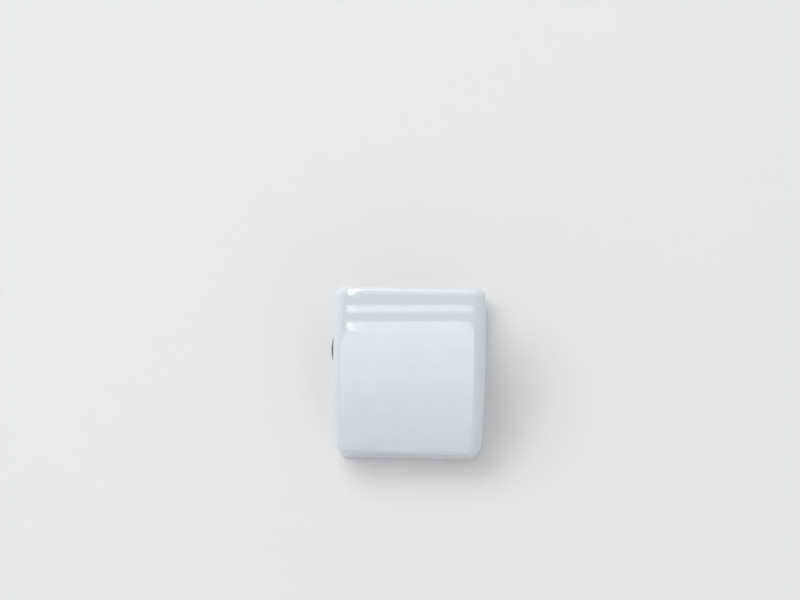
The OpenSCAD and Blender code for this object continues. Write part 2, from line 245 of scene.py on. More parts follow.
class StudioSettings(bpy.types.PropertyGroup):
    """Camera and light of the studio."""

    azimuth: angle("Azimuth", 10.0, "Turn of the camera from the jaw end towards +X")
    elevation: angle("Elevation", 74.3, "Height of the camera above the board")
    roll: angle("Roll", -8.65, "Turn of the camera about its own axis")
    distance: length("Distance", 624.4, "Distance from the camera to the point that it looks at")
    aim_x: bpy.props.FloatProperty(
        name="Aim across", description="Point that the camera looks at, across the clip",
        default=-3.41 * MM, precision=5, unit="LENGTH"
    )
    aim_y: length("Aim along", 19.59, "Point that the camera looks at, along the clip")
    lens_mm: number("Lens", 112.3, "Focal length on a sensor 36 mm wide")
    key: number("Key", 25.9, "Power of the large softbox beyond the handle end")
    fill: number("Fill", 0.65, "Power of the large softbox at the front right")
    sky: number("Sky", 0.76, "Strength of the even light from all round")
    strip: number("Strip", 3.5, "Brightness of the strip lights that the face mirrors")
    rim: number("Rim", 1.6, "Brightness of the thin line mirrored along the handle end")
    left: number("Left", 0.6, "Brightness of the panel mirrored along the left flank")
    right: number("Right", 0.4, "Brightness of the panel mirrored along the right flank")
    glint: number("Glint", 13.0, "Brightness of the narrow light mirrored at the handle end")


class LeverShape:
    """The front lever's own frame and curves. The pivot's axis is its origin, s runs up the
    face towards the handle end, and h stands off it."""

    def __init__(self, sizes):
        self.sizes = sizes
        self.tilt = sizes.face_tilt
        self.sin = math.sin(sizes.face_tilt)
        self.cos = math.cos(sizes.face_tilt)
        self.half_w = FRONT_HIGH.x
        self.handle_s = sizes.pivot_back
        self.tip_s = (FRONT_LOW.y - PIVOT.y + sizes.pivot_depth * self.sin) / self.cos
        self.crown_s = (self.handle_s + self.tip_s) / 2
        half_l = (self.handle_s - self.tip_s) / 2
        self.crown_h = sizes.pivot_depth - math.sqrt(sizes.crown_r**2 - half_l**2)
        self.jaw_roll_w = sizes.jaw_roll * self.cos
        jaw_roll_drop = sizes.jaw_roll * (1 - self.sin)
        self.near_s = self.tip_s - jaw_roll_drop * math.tan(self.tilt)
        self.throat_h = sizes.pivot_depth - sizes.throat_skirt
        self.handle_h = sizes.pivot_depth - sizes.handle_skirt

    def place(self, x, s, h):
        """Points of the lever's frame as clip points."""
        x, s, h = np.broadcast_arrays(x, s, h)
        y = PIVOT.y + s * self.cos - h * self.sin
        z = PIVOT.z + s * self.sin + h * self.cos
        return np.stack((x, y, z), axis=-1)

    def side(self, s, h):
        """Points of the lever's side view as (y, z) of the clip."""
        return [tuple(p) for p in np.atleast_2d(self.place(0.0, s, h))[:, 1:]]

    def crown(self, s, depth=0.0):
        """Height of the crowned face, or of a surface some depth below it."""
        radius = self.sizes.crown_r - depth
        return self.crown_h + np.sqrt(radius**2 - (s - self.crown_s) ** 2)

    def half(self, s):
        """Half width between the bowed flanks."""
        return self.half_w - self.sizes.bow_r + np.sqrt(self.sizes.bow_r**2 - s**2)

    def outline(self):
        """Outline of the face as (x, s)."""
        sizes = self.sizes
        return BowedOutline(self.half_w, sizes.bow_r, self.near_s, self.handle_s,
                            sizes.jaw_corner, sizes.handle_corner)

    def skin(self, x, s, inset):
        """Height of the outer skin: the crown, less the rolled edges and the edge rounding
        at a distance inside the outline."""
        sizes = self.sizes
        flank = np.clip(1 - (self.half(s) - np.abs(x)) / sizes.flank_roll_w, 0, 1)
        far = np.clip(1 - (self.handle_s - s) / sizes.handle_corner, 0, 1)
        near = np.clip(1 - (s - self.near_s) / sizes.jaw_corner, 0, 1)
        end = far + near
        depth = np.minimum(np.hypot(flank, end), 1)
        total = np.maximum(flank**2 + end**2, TINY)
        far_in = depth * sizes.handle_corner - (sizes.handle_corner - sizes.handle_roll)
        near_in = depth * sizes.jaw_corner - (sizes.jaw_corner - self.jaw_roll_w)
        flank_drop = roll_drop(sizes.flank_roll, depth * sizes.flank_roll_w)
        end_drop = np.where(near > 0, roll_drop(sizes.jaw_roll, near_in),
                            roll_drop(sizes.handle_roll, far_in))
        rolled = (flank**2 * flank_drop + end**2 * end_drop) / total
        edge_drop = roll_drop(sizes.edge_round, sizes.edge_round - inset) * (1 - near**2 / total)
        return self.crown(s) - rolled - edge_drop


def roll_drop(radius, depth):
    """How far a rolled edge has dropped at a depth into it."""
    return radius - np.sqrt(radius**2 - np.clip(depth, 0, radius) ** 2)


# Outlines and meshes

def arc(centre, radius, start, stop, steps):
    """Points along an arc and the directions out of it, both ends included."""
    turns = np.linspace(start, stop, steps + 1)
    out = np.stack((np.cos(turns), np.sin(turns)), axis=-1)
    return np.array(centre) + radius * out, out


class BowedOutline:
    """Closed outline with bowed flanks and round corners, widest at 0, and its inward
    directions. It starts at the middle of the far left corner and runs clockwise."""

    line_steps = 30
    corner_steps = 8
    flank_steps = 110

    def __init__(self, half_w, bow_r, near, far, near_r, far_r):
        bow_x = half_w - bow_r
        far_c, far_a = self.corner(bow_x, bow_r, far, far_r)
        near_c, near_a = self.corner(bow_x, bow_r, near, near_r)
        quarter = math.pi / 2
        ease = np.sin(np.linspace(0, quarter, self.line_steps + 1))
        up = np.tile((0.0, 1.0), (self.line_steps + 1, 1))
        far_line = np.stack((far_c[0] * ease, np.full_like(ease, far)), axis=-1)
        near_line = np.stack((near_c[0] * ease[::-1], np.full_like(ease, near)), axis=-1)
        stretches = (
            (far_line, up),
            arc(far_c, far_r, quarter, far_a, 2 * self.corner_steps),
            arc((bow_x, 0.0), bow_r, far_a, near_a, self.flank_steps),
            arc(near_c, near_r, near_a, -quarter, 2 * self.corner_steps),
            (near_line, -up),
        )
        points = np.concatenate([p[:-1] for p, out in stretches] + [near_line[-1:]])
        out = np.concatenate([out[:-1] for p, out in stretches] + [-up[-1:]])
        mirror = np.array((-1.0, 1.0))
        start = self.line_steps + self.corner_steps
        self.points = np.roll(np.concatenate((points, points[-2:0:-1] * mirror)), start, axis=0)
        self.inward = -np.roll(np.concatenate((out, out[-2:0:-1] * mirror)), start, axis=0)
        self.across = 2 * start
        self.along = self.flank_steps + 2 * self.corner_steps

    @staticmethod
    def corner(bow_x, bow_r, end, radius):
        """Centre of a corner, and the angle at which it meets the flank."""
        s = end - math.copysign(radius, end)
        x = bow_x + math.sqrt((bow_r - radius) ** 2 - s**2)
        return (x, s), math.atan2(s, x - bow_x)

    def inset(self, distance):
        """The outline drawn in by a distance."""
        return self.points + distance * self.inward

    def patch(self, loop):
        """Even grid of points spanned by a loop, and the loop's place numbers in it."""
        total = len(loop)
        far = np.arange(self.across + 1)
        near = 2 * self.across + self.along - far
        right = self.across + np.arange(self.along + 1)
        left = -np.arange(self.along + 1) % total
        u = np.linspace(0, 1, self.across + 1)[None, :, None]
        v = np.linspace(0, 1, self.along + 1)[:, None, None]
        sides = (1 - v) * loop[far][None] + v * loop[near][None]
        ends = (1 - u) * loop[left][:, None] + u * loop[right][:, None]
        corners = ((1 - u) * ((1 - v) * loop[far[0]] + v * loop[near[0]])
                   + u * ((1 - v) * loop[far[-1]] + v * loop[near[-1]]))
        return sides + ends - corners, far, near, right, left


def round_rectangle(low, high, radius, steps=6):
    """Closed outline of a rectangle with round corners, and its inward directions."""
    quarter = math.pi / 2
    left, right = low[0] + radius, high[0] - radius
    near, far = low[1] + radius, high[1] - radius
    arcs = [arc(corner, radius, turn * quarter, (turn + 1) * quarter, steps)
            for turn, corner in enumerate(((right, far), (left, far), (left, near), (right, near)))]
    points, out = (np.concatenate(part) for part in zip(*arcs))
    return points, -out


class Skin:
    """Collects the points and faces of one closed mesh."""

    def __init__(self):
        self.points = []
        self.faces = []

    def add(self, points):
        """Adds points and gives their place numbers."""
        start = len(self.points)
        self.points.extend(tuple(p) for p in points)
        return list(range(start, len(self.points)))

    def sheet(self, rows):
        """Joins rows of a grid with quads."""
        for one, other in zip(rows, rows[1:]):
            for i in range(len(one) - 1):
                self.faces.append((one[i], one[i + 1], other[i + 1], other[i]))

    def tube(self, rings):
        """Joins rings with quads, each to the next."""
        self.sheet([[*ring, ring[0]] for ring in rings])

    def cap(self, ring):
        """Closes a flat ring."""
        self.faces.append(tuple(ring))

    def build(self, name):
        """Makes the object, with all its faces turned outwards."""
        mesh = bpy.data.meshes.new(name)
        mesh.from_pydata(self.points, [], self.faces)
        shape = bmesh.new()
        shape.from_mesh(mesh)
        bmesh.ops.remove_doubles(shape, verts=shape.verts, dist=TINY)
        bmesh.ops.recalc_face_normals(shape, faces=shape.faces)
        shape.to_mesh(mesh)
        shape.free()
        piece = bpy.data.objects.new(name, mesh)
        bpy.context.scene.collection.objects.link(piece)
        return piece


def bake(piece):
    """Applies a piece's modifiers to its mesh."""
    bpy.context.view_layer.update()
    shown = piece.evaluated_get(bpy.context.evaluated_depsgraph_get())
    mesh = bpy.data.meshes.new_from_object(shown)
    piece.modifiers.clear()
    piece.data = mesh


def carve(piece, tool, how="DIFFERENCE"):
    """Cuts a tool out of a piece, or joins it on, and removes the tool."""
    change = piece.modifiers.new(how, "BOOLEAN")
    change.operation = how
    change.solver = "EXACT"
    change.object = tool
    bake(piece)
    bpy.data.objects.remove(tool)


def weld(piece):
    """Joins points that all but coincide."""
    shape = bmesh.new()
    shape.from_mesh(piece.data)
    bmesh.ops.remove_doubles(shape, verts=shape.verts, dist=WELD)
    bmesh.ops.dissolve_degenerate(shape, edges=shape.edges, dist=WELD)
    shape.to_mesh(piece.data)
    shape.free()


def join_on(piece, part, sizes):
    """Rounds a moulded part's edges and joins it on to a piece."""
    soften(part, sizes.cut_round)
    carve(piece, part, "UNION")
    weld(piece)


def soften(piece, width, steps=2, behind=-math.inf):
    """Rounds the sharp edges of a piece that lie behind a place along the clip."""
    weld(piece)
    shape = bmesh.new()
    shape.from_mesh(piece.data)
    share = shape.edges.layers.float.new("bevel_weight_edge")
    for edge in shape.edges:
        near_y = min(vertex.co.y for vertex in edge.verts)
        edge[share] = float(near_y > behind and edge.calc_face_angle(0.0) > SHARP)
    shape.to_mesh(piece.data)
    shape.free()
    bevel = piece.modifiers.new("rounding", "BEVEL")
    bevel.width = width
    bevel.segments = steps
    bevel.limit_method = "WEIGHT"
    bevel.use_clamp_overlap = False
    bake(piece)


def shade(piece):
    """Shades a piece smooth, with its broad faces kept flat."""
    piece.data.shade_smooth()
    piece.data.set_sharp_from_angle(angle=CREASE)
    piece.modifiers.new("broad faces first", "WEIGHTED_NORMAL").keep_sharp = True
    bake(piece)


def set_side_normals(piece, inner_x, bow_r, along):
    """Gives the points of the faces that look sideways their true normals, bowed outside and
    flat inside, so that the rounded edges beside them run on smoothly."""
    mesh = piece.data
    true = {}
    for face in mesh.polygons:
        side = math.copysign(1.0, face.normal.x)
        outside = side * face.center.x > inner_x
        for i in face.vertices:
            lean = along.dot(mesh.vertices[i].co - PIVOT) / bow_r if outside else 0.0
            normal = lean * along + side * math.sqrt(1 - lean**2) * Vector((1, 0, 0))
            if normal.dot(face.normal) > SIDEWAYS:
                true[i] = normal
    normals = []
    for loop, corner in zip(mesh.loops, mesh.corner_normals):
        now = Vector(corner.vector)
        normal = true.get(loop.vertex_index, now)
        normals.append(normal if normal.dot(now) > NEARLY_SIDEWAYS else now)
    mesh.normals_split_custom_set(normals)


def rounded(outline, cut, steps=8):
    """Closed outline with its sharp corners rounded, each by a cut along its two sides."""
    points = np.array(outline)
    ahead = np.roll(points, -1, axis=0) - points
    ahead /= np.linalg.norm(ahead, axis=1)[:, None]
    result = []
    for point, come, go in zip(points, np.roll(ahead, 1, axis=0), ahead):
        turn = math.atan2(come[0] * go[1] - come[1] * go[0], come @ go)
        if abs(turn) < SHARP:
            result.append(tuple(point))
            continue
        radius = cut / math.tan(abs(turn) / 2)
        side = math.copysign(radius, turn) * np.array((-come[1], come[0]))
        centre = point - cut * come + side
        spoke = -side
        for t in np.linspace(0, turn, steps + 1):
            result.append((centre[0] + spoke[0] * math.cos(t) - spoke[1] * math.sin(t),
                           centre[1] + spoke[0] * math.sin(t) + spoke[1] * math.cos(t)))
    return result


def side_prism(name, outline, low_x, high_x):
    """Solid across the clip from an outline given as (y, z)."""
    skin = Skin()
    rings = [skin.add([(x, y, z) for y, z in outline]) for x in (low_x, high_x)]
    skin.tube(rings)
    for ring in rings:
        skin.cap(ring)
    return skin.build(name)


def round_block(name, points, inward, low_z, high_z, edge, steps=4, levels=()):
    """Upright block from an outline, with its upper and lower edges rounded, and its wall
    split at some levels."""
    turns = np.linspace(0, math.pi / 2, steps + 1)
    lower = [(edge * (1 - math.sin(t)), low_z + edge * (1 - math.cos(t))) for t in turns]
    upper = [(inset, low_z + high_z - z) for inset, z in reversed(lower)]
    skin = Skin()
    rings = []
    for inset, z in lower + [(0.0, level) for level in levels] + upper:
        rings.append(skin.add([(x, y, z) for x, y in points + inset * inward]))
    skin.tube(rings)
    skin.cap(rings[0])
    skin.cap(rings[-1])
    return skin.build(name)


def lathe(name, profile, steps=48):
    """Turned solid about the pivot's axis, from (x, radius) points that start and end on it."""
    skin = Skin()
    turns = np.linspace(0, math.tau, steps, endpoint=False)
    rings = []
    for x, r in profile[1:-1]:
        rings.append(skin.add([(x, PIVOT.y + r * math.cos(t), PIVOT.z + r * math.sin(t)) for t in turns]))
    skin.tube(rings)
    for ring, (x, r) in ((rings[0], profile[0]), (rings[-1], profile[-1])):
        tip = skin.add([(x, PIVOT.y, PIVOT.z)])[0]
        for i in range(steps):
            skin.faces.append((tip, ring[i], ring[(i + 1) % steps]))
    return skin.build(name)


def spread_seat(sizes):
    """Cutting tool for the seat of the pin's spread end, with a rounded mouth."""
    floor_x = PIN_HIGH.x - sizes.spread_t - sizes.head_gap
    past_x = PIN_HIGH.x + REACH
    radius = sizes.pin_d / 2 + sizes.spread_rim + sizes.head_gap
    rounding = sizes.cut_round
    mouth = arc((PIN_HIGH.x - rounding, radius + rounding), rounding, -math.pi / 2, 0.0, steps=4)[0]
    profile = [(floor_x, 0.0), (floor_x, radius), *mouth, (past_x, radius + rounding), (past_x, 0.0)]
    return lathe("spread_seat", profile)


def pin_bore(name, low_x, high_x, radius):
    """Round cutting tool about the pivot's axis."""
    return lathe(name, ((low_x, 0), (low_x, radius), (high_x, radius), (high_x, 0)))


def ear_side(radius, foot_a, foot_b, seams=None):
    """Ear outline in (along, off) from the pivot: foot to foot, anticlockwise round the pin.
    Where seams of the flank run down an ear, its points below the pin lie on them."""
    ends = []
    for foot, way in ((foot_a, 1), (foot_b, -1)):
        reach = math.hypot(*foot)
        ends.append(math.atan2(foot[1], foot[0]) + way * math.acos(radius / reach))
    if seams is None:
        sweep = (ends[1] - ends[0]) % math.tau
        points = arc((0, 0), radius, ends[0], ends[0] + sweep, steps=36)[0]
    else:
        low, high = radius * np.cos(ends)
        along = seams[(seams > low) & (seams < high)]
        points = np.stack((along, -np.sqrt(radius**2 - along**2)), axis=-1)
    return np.concatenate(([foot_a], points, [foot_b]))


def tooth_line(sizes, lift):
    """Toothed line of the jaws as (y, z), to the throat. The first slope runs on past the jaw end."""
    step = sizes.jaw_l / sizes.tooth_n / 2
    base = YOKE_HIGH.z + sizes.floor_t + lift
    line = [(FRONT_LOW.y - step, base - sizes.tooth_h)]
    line += [(FRONT_LOW.y + i * step, base + (i % 2) * sizes.tooth_h)
             for i in range(1, 2 * sizes.tooth_n + 1)]
    return line


def jaw_y(sizes):
    """Place just behind the toothed jaw, whose outline is rounded before it is cut."""
    return FRONT_LOW.y + sizes.jaw_l + 4 * sizes.cut_round


def guide_ribs(name, sizes, middle_x, outline):
    """Two ribs on either side of a spring leg, from their side outline."""
    off = sizes.wire_d / 2 + sizes.guide_gap
    ribs = []
    for side in (-1, 1):
        low, high = sorted((middle_x + side * off, middle_x + side * (off + sizes.rib_t)))
        ribs.append(side_prism(name, outline, low, high))
    return ribs


def finish_piece(piece, material, body, slot, *nodes):
    """Gives a piece its material, and makes it ride on its body and stand for its nodes. The
    slot is not used."""
    piece.data.materials.clear()
    piece.data.materials.append(material)
    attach(piece, body)
    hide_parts(*nodes)


# Spring wire

class SpringWire:
    """The wire's path about the pivot, from its tip on the front lever to its tip on the rear."""

    def __init__(self, sizes):
        lever = LeverShape(sizes)
        self.radius = sizes.wire_d / 2
        self.leg_l = sizes.leg_l
        self.coil_r = sizes.pin_d / 2 + sizes.coil_gap + self.radius
        self.pitch = sizes.wire_d + sizes.turn_gap
        spare = self.radius + sizes.leg_gap
        rear_drop = PIVOT.z - YOKE_HIGH.z - sizes.floor_t - spare
        face_rise = float(lever.crown(sizes.leg_l, sizes.face_wall)) - spare
        self.rear_a = self.leg_angle(rear_drop)
        self.face_a = lever.tilt + self.leg_angle(face_rise)
        self.start = math.pi / 2 + self.face_a
        self.stop = 3 * math.pi / 2 - self.rear_a + math.tau * sizes.coil_turns
        self.half_l = self.pitch * (self.stop - self.start) / math.tau / 2

    def leg_angle(self, height):
        """Slope of a leg that leaves the coil and ends at a height off the pivot."""
        reach = math.hypot(self.coil_r, self.leg_l)
        return math.asin(height / reach) - math.atan2(self.coil_r, self.leg_l)

    def point(self, turn):
        """Middle of the wire at an angle round the coil."""
        x = -self.half_l + self.pitch * (turn - self.start) / math.tau
        return Vector((x, self.coil_r * math.cos(turn), self.coil_r * math.sin(turn))) + PIVOT

    def run(self, turn):
        """Direction of the wire at an angle round the coil, seen from the side."""
        return Vector((0, -math.sin(turn), math.cos(turn)))


# Materials

class Nodes:
    """Short calls for building a material's nodes."""

    def __init__(self, name):
        self.material = bpy.data.materials.new(name)
        self.material.use_nodes = True
        self.tree = self.material.node_tree
        self.shader = self.tree.nodes["Principled BSDF"]
        self.place = self.add("ShaderNodeTexCoord").outputs["Object"]

    def add(self, kind, **values):
        """A node with some of its input values set."""
        node = self.tree.nodes.new(kind)
        for name, value in values.items():
            node.inputs[name.replace("_", " ")].default_value = value
        return node

    def link(self, source, target):
        """Joins an output to an input."""
        self.tree.links.new(source, target)

    def stretched(self, scale, source=None):
        """Texture place with its axes stretched."""
        mapping = self.add("ShaderNodeMapping", Scale=scale)
        self.link(source or self.place, mapping.inputs["Vector"])
        return mapping.outputs["Vector"]

    def noise(self, scale, detail, source=None):
        """Value of a noise texture."""
        texture = self.add("ShaderNodeTexNoise", Scale=scale, Detail=detail)
        self.link(source or self.place, texture.inputs["Vector"])
        return texture.outputs["Fac"]

    def spread(self, source, low, high, from_low=0.3, from_high=0.7):
        """A texture's value spread over a new range."""
        node = self.add("ShaderNodeMapRange", From_Min=from_low, From_Max=from_high,
                        To_Min=low, To_Max=high)
        self.link(source, node.inputs["Value"])
        return node.outputs["Result"]

    def tint(self, source, one, other):
        """A texture's value as a colour between two."""
        ramp = self.add("ShaderNodeValToRGB")
        for stop, rgb in zip(ramp.color_ramp.elements, (one, other)):
            stop.color = (*rgb, 1.0)
        self.link(source, ramp.inputs["Fac"])
        self.link(ramp.outputs["Color"], self.shader.inputs["Base Color"])

    def bump(self, source, height):
        """Fine relief of a given height."""
        node = self.add("ShaderNodeBump", Strength=1.0, Distance=height)
        self.link(source, node.inputs["Height"])
        self.link(node.outputs["Normal"], self.shader.inputs["Normal"])

    def rough(self, source):
        """Roughness from a texture's value."""
        self.link(source, self.shader.inputs["Roughness"])


def moulded_plastic(name, gloss):
    """Polished white plastic: faint drift of tone, slight flow marks, fine polish haze."""
    colours = bpy.context.scene.clip_colours
    nodes = Nodes(name)
    haze_depth = 0.025
    drift = nodes.noise(scale=95.0, detail=4.0)
    drift = nodes.spread(drift, low=0.0, high=1.0, from_low=0.25, from_high=0.75)
    nodes.tint(drift, colours.plastic, colours.plastic_drift)
    haze = nodes.noise(scale=420.0, detail=5.0)
    nodes.rough(nodes.spread(haze, low=gloss, high=gloss + haze_depth))
    nodes.bump(nodes.noise(scale=160.0, detail=2.0), height=0.0016 * MM)
    nodes.shader.inputs["IOR"].default_value = 1.52
    return nodes.material


def metal(nodes, rgb, dark, tone, grain, rough, relief):
    """Metal whose colour darkens with one texture's value, while its roughness, between two
    values, and its relief follow another's."""
    nodes.tint(nodes.spread(tone, low=0.0, high=1.0), [dark * c for c in rgb], rgb)
    nodes.rough(nodes.spread(grain, *rough))
    nodes.bump(grain, relief)
    nodes.shader.inputs["Metallic"].default_value = 1.0
    return nodes.material


def dark_steel():
    """Very dark metal pin with faint rings left by turning."""
    nodes = Nodes("dark_steel")
    rings = nodes.noise(scale=1.0, detail=2.0, source=nodes.stretched((9000.0, 700.0, 700.0)))
    return metal(nodes, bpy.context.scene.clip_colours.steel, dark=0.85, tone=rings, grain=rings,
                 rough=(0.14, 0.26), relief=0.004 * MM)


def drawn_wire():
    """Spring wire with fine die lines along its length and a slightly oily tone."""
    nodes = Nodes("drawn_wire")
    unrolled = nodes.add("ShaderNodeUVMap")
    unrolled.uv_map = "wire"
    along = nodes.stretched((60.0, 26.0, 1.0), unrolled.outputs["UV"])
    lines = nodes.noise(scale=1.0, detail=4.0, source=along)
    patches = nodes.noise(scale=700.0, detail=3.0)
    return metal(nodes, bpy.context.scene.clip_colours.wire, dark=0.72, tone=patches, grain=lines,
                 rough=(0.22, 0.42), relief=0.006 * MM)


def plated_plate():
    """Zinc plated sheet with a rolled grain."""
    nodes = Nodes("plated_plate")
    grain = nodes.noise(scale=1.0, detail=4.0, source=nodes.stretched((2600.0, 160.0, 160.0)))
    return metal(nodes, bpy.context.scene.clip_colours.plate, dark=0.8, tone=grain, grain=grain,
                 rough=(0.28, 0.48), relief=0.004 * MM)


def ground_ferrite():
    """Dark sintered ferrite with grinding lines and small pits."""
    nodes = Nodes("ground_ferrite")
    lines = nodes.noise(scale=1.0, detail=3.0, source=nodes.stretched((240.0, 7000.0, 240.0)))
    grains = nodes.noise(scale=2600.0, detail=5.0)
    ferrite = bpy.context.scene.clip_colours.ferrite
    paler = [2.1 * c for c in ferrite]
    nodes.tint(nodes.spread(grains, low=0.0, high=1.0), ferrite, paler)
    nodes.rough(nodes.spread(lines, low=0.42, high=0.68))
    nodes.bump(grains, height=0.02 * MM)
    return nodes.material


def studio_floor():
    """Matt paper floor, even to the eye."""
    floor = bpy.context.scene.clip_colours.floor
    nodes = Nodes("studio_floor")
    dimmer = [0.995 * c for c in floor]
    nodes.tint(nodes.noise(scale=30.0, detail=2.0), dimmer, floor)
    nodes.rough(nodes.spread(nodes.noise(scale=400.0, detail=2.0), low=0.85, high=0.95))
    nodes.shader.inputs["Specular IOR Level"].default_value = 0.0
    return nodes.material


# Pieces

def lever_body(lever):
    """Solid front lever before it is hollowed: crowned, rolled at its edges, with deep walls. They
    stand upright on the board at the jaw end and square to the face at the handle end."""
    sizes = lever.sizes
    outline = lever.outline()
    # The innermost ring stops short of the corners' middles
    deepest = 0.7 * sizes.handle_corner
    edge_steps = 10
    skin = Skin()
    rings = []
    for turn in np.linspace(0, math.pi / 2, edge_steps + 1):
        inset = deepest * (1 - math.sin(turn))
        x, s = outline.inset(inset).T
        rim_h = lever.skin(x, s, inset)
        rings.append(skin.add(lever.place(x, s, rim_h)))
    grid, far, near, right, left = outline.patch(outline.inset(deepest))
    rows = [[rings[0][i] for i in far]]
    for v in range(1, len(grid) - 1):
        x, s = grid[v, 1:-1].T
        inner = skin.add(lever.place(x, s, lever.skin(x, s, deepest)))
        rows.append([rings[0][left[v]], *inner, rings[0][right[v]]])
    rows.append([rings[0][i] for i in near])
    skin.sheet(rows)
    foot_h = -(sizes.pin_d / 2 + sizes.ear_wall + REACH)
    x, s = outline.points.T
    upright = np.clip((s - lever.near_s - sizes.jaw_corner) / (2 * sizes.jaw_l), 0, 1)
    lean = lever.tilt * (1 - upright**2 * (3 - 2 * upright))
    rings.append(skin.add(lever.place(x, s - np.tan(lean) * (rim_h - foot_h), foot_h)))
    skin.tube(rings)
    skin.cap(rings[-1])
    return skin.build("front_lever_shell")


def lever_hollow(lever):
    """Room under the face, from the throat to the handle end's wall."""
    sizes = lever.sizes
    throat_y = FRONT_LOW.y + sizes.jaw_l
    wall_s = lever.handle_s - sizes.lever_wall
    ceiling_n = 40
    ceiling_s = np.linspace(lever.tip_s, wall_s, ceiling_n)
    ceiling = np.array(lever.side(ceiling_s, lever.crown(ceiling_s, sizes.face_wall)))
    throat_z = float(np.interp(throat_y, ceiling[:, 0], ceiling[:, 1]))
    inside = [tuple(p) for p in ceiling if p[0] > throat_y + sizes.rib_t / 2]
    foot = lever.side(wall_s, -2 * REACH)
    outline = [(throat_y, -REACH), (throat_y, throat_z), *inside, *foot]
    half = ear_x(sizes)
    hollow = side_prism("lever_hollow", outline, -half, half)
    soften(hollow, sizes.inner_round, steps=4)
    return hollow


def ear_x(sizes):
    """Inner side of the front lever's ears."""
    return FRONT_HIGH.x - sizes.front_ear_t


def lever_ribs(lever, wire):
    """Ribs under the face: two along it, one across it and two beside the spring's leg."""
    sizes = lever.sizes
    throat_s = lever.tip_s + sizes.jaw_l
    wall_s = lever.handle_s - sizes.lever_wall / 2
    cross_s = sizes.leg_l * math.cos(wire.face_a - lever.tilt) + sizes.rib_t
    sunk = sizes.face_wall / 2

    def under(low, high):
        """Side view of a rib that hangs from the face to the throat's height."""
        steps = np.linspace(high, low, 2 + int((high - low) / sizes.lever_wall))
        return lever.side((low, high), lever.throat_h) + lever.side(steps, lever.crown(steps, sunk))

    half_t = sizes.rib_t / 2
    ribs = [side_prism("long_rib", under(throat_s, wall_s), x - half_t, x + half_t)
            for x in (-sizes.rib_x, sizes.rib_x)]
    ribs.append(side_prism("cross_rib", under(cross_s, cross_s + sizes.rib_t), -sizes.rib_x, sizes.rib_x))
    guide = under(cross_s - sizes.guide_l, cross_s + half_t)
    return ribs + guide_ribs("leg_guide", sizes, -wire.half_l, guide)


def lever_underside(lever):
    """Everything below the front lever's teeth, throat, ears and handle walls."""
    sizes = lever.sizes
    radius = sizes.pin_d / 2 + sizes.ear_wall
    seams = np.unique(lever.outline().points[:, 1])
    ear = ear_side(radius, (-sizes.ear_foot, lever.throat_h), (sizes.ear_foot, lever.handle_h), seams)
    teeth = tooth_line(sizes, sizes.jaw_gap)
    throat_y = teeth[-1][0]
    throat_s = (throat_y - PIVOT.y + lever.throat_h * lever.sin) / lever.cos
    end_s = lever.handle_s + REACH
    outline = [(teeth[0][0] - REACH, teeth[0][1]), *teeth]
    outline += lever.side(throat_s, lever.throat_h)
    outline += lever.side(ear[:, 0], ear[:, 1])
    outline += lever.side(end_s, lever.handle_h)
    outline += lever.side(end_s, -3 * REACH)
    outline.append((teeth[0][0] - REACH, -3 * REACH))
    outline = rounded(outline, sizes.cut_round)
    return side_prism("lever_underside", outline, -2 * FRONT_HIGH.x, 2 * FRONT_HIGH.x)


def make_front_lever(sizes):
    """Crowned front lever with its hollow, ribs, teeth, ears and pin holes."""
    lever = LeverShape(sizes)
    piece = lever_body(lever)
    carve(piece, lever_hollow(lever))
    carve(piece, lever_underside(lever))
    side_x = 2 * FRONT_HIGH.x
    carve(piece, pin_bore("pin_hole", -side_x, side_x, sizes.pin_d / 2 + sizes.pin_fit))
    carve(piece, spread_seat(sizes))
    soften(piece, sizes.cut_round, behind=jaw_y(sizes))
    for rib in lever_ribs(lever, SpringWire(sizes)):
        join_on(piece, rib, sizes)
    shade(piece)
    set_side_normals(piece, ear_x(sizes), sizes.bow_r, Vector((0, lever.cos, lever.sin)))
    plastic = moulded_plastic("white_plastic_front", gloss=0.03)
    finish_piece(piece, plastic, "front", "white_plastic_front", "front_lever")


